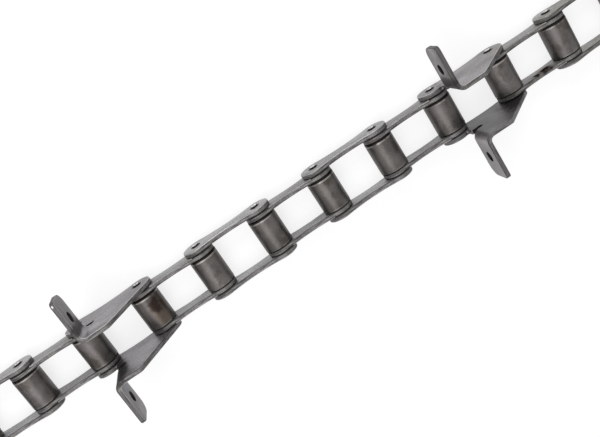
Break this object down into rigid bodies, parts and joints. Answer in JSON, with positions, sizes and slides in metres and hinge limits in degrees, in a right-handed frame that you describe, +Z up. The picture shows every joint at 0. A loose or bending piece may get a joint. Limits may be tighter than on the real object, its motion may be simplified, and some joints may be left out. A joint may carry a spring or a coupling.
{
  "type": "conveyor chain",
  "caption": "Straight length of steel roller chain with waisted link plates, free rollers, and plates whose raised ear is bent outward into a bolting lug on both sides.",
  "frame": {"origin": "on the surface the straight chain lies on, under the middle of its length and width", "axes": "+X along the chain towards the end whose lugs are nearer it, +Y across the chain along its pins, +Z up, the way the ears rise"},
  "size_m": [0.556, 0.0864, 0.0452],
  "materials": {
    "inner_plate_steel": "satin mill-finished plate, darker sheared edges",
    "outer_plate_steel": "satin mill-finished plate, darker sheared edges",
    "wing_steel": "satin mill-finished plate, darker sheared edges",
    "roller_steel": "heat-treated gunmetal, lightly oiled",
    "bush_steel": "heat-treated, lightly oiled",
    "pin_steel": "ground and punched bright at the ends"
  },
  "bodies": {
    "link_01": {"link_01_front_inner_plate": "inner_plate_steel", "link_01_rear_inner_plate": "inner_plate_steel", "link_01_bushes": "bush_steel"},
    "link_02": {"link_02_front_outer_plate": "outer_plate_steel", "link_02_rear_outer_plate": "outer_plate_steel", "link_02_pins": "pin_steel"},
    "link_03": {"link_03_front_inner_plate": "inner_plate_steel", "link_03_rear_inner_plate": "inner_plate_steel", "link_03_bushes": "bush_steel"},
    "link_04": {"link_04_front_wing_plate": "wing_steel", "link_04_rear_wing_plate": "wing_steel", "link_04_pins": "pin_steel"},
    "link_05": {"link_05_front_inner_plate": "inner_plate_steel", "link_05_rear_inner_plate": "inner_plate_steel", "link_05_bushes": "bush_steel"},
    "link_06": {"link_06_front_outer_plate": "outer_plate_steel", "link_06_rear_outer_plate": "outer_plate_steel", "link_06_pins": "pin_steel"},
    "link_07": {"link_07_front_inner_plate": "inner_plate_steel", "link_07_rear_inner_plate": "inner_plate_steel", "link_07_bushes": "bush_steel"},
    "link_08": {"link_08_front_outer_plate": "outer_plate_steel", "link_08_rear_outer_plate": "outer_plate_steel", "link_08_pins": "pin_steel"},
    "link_09": {"link_09_front_inner_plate": "inner_plate_steel", "link_09_rear_inner_plate": "inner_plate_steel", "link_09_bushes": "bush_steel"},
    "link_10": {"link_10_front_wing_plate": "wing_steel", "link_10_rear_wing_plate": "wing_steel", "link_10_pins": "pin_steel"},
    "link_11": {"link_11_front_inner_plate": "inner_plate_steel", "link_11_rear_inner_plate": "inner_plate_steel", "link_11_bushes": "bush_steel"},
    "link_12": {"link_12_front_outer_plate": "outer_plate_steel", "link_12_rear_outer_plate": "outer_plate_steel", "link_12_pins": "pin_steel"},
    "link_13": {"link_13_front_inner_plate": "inner_plate_steel", "link_13_rear_inner_plate": "inner_plate_steel", "link_13_bushes": "bush_steel"},
    "roller_01": {"roller_01": "roller_steel"},
    "roller_02": {"roller_02": "roller_steel"},
    "roller_03": {"roller_03": "roller_steel"},
    "roller_04": {"roller_04": "roller_steel"},
    "roller_05": {"roller_05": "roller_steel"},
    "roller_06": {"roller_06": "roller_steel"},
    "roller_07": {"roller_07": "roller_steel"},
    "roller_08": {"roller_08": "roller_steel"},
    "roller_09": {"roller_09": "roller_steel"},
    "roller_10": {"roller_10": "roller_steel"},
    "roller_11": {"roller_11": "roller_steel"},
    "roller_12": {"roller_12": "roller_steel"},
    "roller_13": {"roller_13": "roller_steel"},
    "roller_14": {"roller_14": "roller_steel"}
  },
  "joints": [
    {"name": "pin_08_hinge", "type": "hinge", "parent": "link_07", "child": "link_08", "pos_m": [0.0207, 0, 0.00889], "axis": [0, 1, 0], "range_deg": [-75, 75]},
    {"name": "pin_09_hinge", "type": "hinge", "parent": "link_08", "child": "link_09", "pos_m": [0.0621, 0, 0.00889], "axis": [0, -1, 0], "range_deg": [-75, 75]},
    {"name": "pin_10_hinge", "type": "hinge", "parent": "link_09", "child": "link_10", "pos_m": [0.1035, 0, 0.00889], "axis": [0, 1, 0], "range_deg": [-75, 75]},
    {"name": "pin_11_hinge", "type": "hinge", "parent": "link_10", "child": "link_11", "pos_m": [0.1449, 0, 0.00889], "axis": [0, -1, 0], "range_deg": [-75, 75]},
    {"name": "pin_12_hinge", "type": "hinge", "parent": "link_11", "child": "link_12", "pos_m": [0.1863, 0, 0.00889], "axis": [0, 1, 0], "range_deg": [-75, 75]},
    {"name": "pin_13_hinge", "type": "hinge", "parent": "link_12", "child": "link_13", "pos_m": [0.2277, 0, 0.00889], "axis": [0, -1, 0], "range_deg": [-75, 75]},
    {"name": "pin_07_hinge", "type": "hinge", "parent": "link_07", "child": "link_06", "pos_m": [-0.0207, 0, 0.00889], "axis": [0, -1, 0], "range_deg": [-75, 75]},
    {"name": "pin_06_hinge", "type": "hinge", "parent": "link_06", "child": "link_05", "pos_m": [-0.0621, 0, 0.00889], "axis": [0, 1, 0], "range_deg": [-75, 75]},
    {"name": "pin_05_hinge", "type": "hinge", "parent": "link_05", "child": "link_04", "pos_m": [-0.1035, 0, 0.00889], "axis": [0, -1, 0], "range_deg": [-75, 75]},
    {"name": "pin_04_hinge", "type": "hinge", "parent": "link_04", "child": "link_03", "pos_m": [-0.1449, 0, 0.00889], "axis": [0, 1, 0], "range_deg": [-75, 75]},
    {"name": "pin_03_hinge", "type": "hinge", "parent": "link_03", "child": "link_02", "pos_m": [-0.1863, 0, 0.00889], "axis": [0, -1, 0], "range_deg": [-75, 75]},
    {"name": "pin_02_hinge", "type": "hinge", "parent": "link_02", "child": "link_01", "pos_m": [-0.2277, 0, 0.00889], "axis": [0, 1, 0], "range_deg": [-75, 75]},
    {"name": "roller_01_spin", "type": "hinge", "parent": "link_01", "child": "roller_01", "pos_m": [-0.2691, 0, 0.00889], "axis": [0, 1, 0], "continuous": true},
    {"name": "roller_02_spin", "type": "hinge", "parent": "link_01", "child": "roller_02", "pos_m": [-0.2277, 0, 0.00889], "axis": [0, 1, 0], "continuous": true},
    {"name": "roller_03_spin", "type": "hinge", "parent": "link_03", "child": "roller_03", "pos_m": [-0.1863, 0, 0.00889], "axis": [0, 1, 0], "continuous": true},
    {"name": "roller_04_spin", "type": "hinge", "parent": "link_03", "child": "roller_04", "pos_m": [-0.1449, 0, 0.00889], "axis": [0, 1, 0], "continuous": true},
    {"name": "roller_05_spin", "type": "hinge", "parent": "link_05", "child": "roller_05", "pos_m": [-0.1035, 0, 0.00889], "axis": [0, 1, 0], "continuous": true},
    {"name": "roller_06_spin", "type": "hinge", "parent": "link_05", "child": "roller_06", "pos_m": [-0.0621, 0, 0.00889], "axis": [0, 1, 0], "continuous": true},
    {"name": "roller_07_spin", "type": "hinge", "parent": "link_07", "child": "roller_07", "pos_m": [-0.0207, 0, 0.00889], "axis": [0, 1, 0], "continuous": true},
    {"name": "roller_08_spin", "type": "hinge", "parent": "link_07", "child": "roller_08", "pos_m": [0.0207, 0, 0.00889], "axis": [0, 1, 0], "continuous": true},
    {"name": "roller_09_spin", "type": "hinge", "parent": "link_09", "child": "roller_09", "pos_m": [0.0621, 0, 0.00889], "axis": [0, 1, 0], "continuous": true},
    {"name": "roller_10_spin", "type": "hinge", "parent": "link_09", "child": "roller_10", "pos_m": [0.1035, 0, 0.00889], "axis": [0, 1, 0], "continuous": true},
    {"name": "roller_11_spin", "type": "hinge", "parent": "link_11", "child": "roller_11", "pos_m": [0.1449, 0, 0.00889], "axis": [0, 1, 0], "continuous": true},
    {"name": "roller_12_spin", "type": "hinge", "parent": "link_11", "child": "roller_12", "pos_m": [0.1863, 0, 0.00889], "axis": [0, 1, 0], "continuous": true},
    {"name": "roller_13_spin", "type": "hinge", "parent": "link_13", "child": "roller_13", "pos_m": [0.2277, 0, 0.00889], "axis": [0, 1, 0], "continuous": true},
    {"name": "roller_14_spin", "type": "hinge", "parent": "link_13", "child": "roller_14", "pos_m": [0.2691, 0, 0.00889], "axis": [0, 1, 0], "continuous": true}
  ]
}
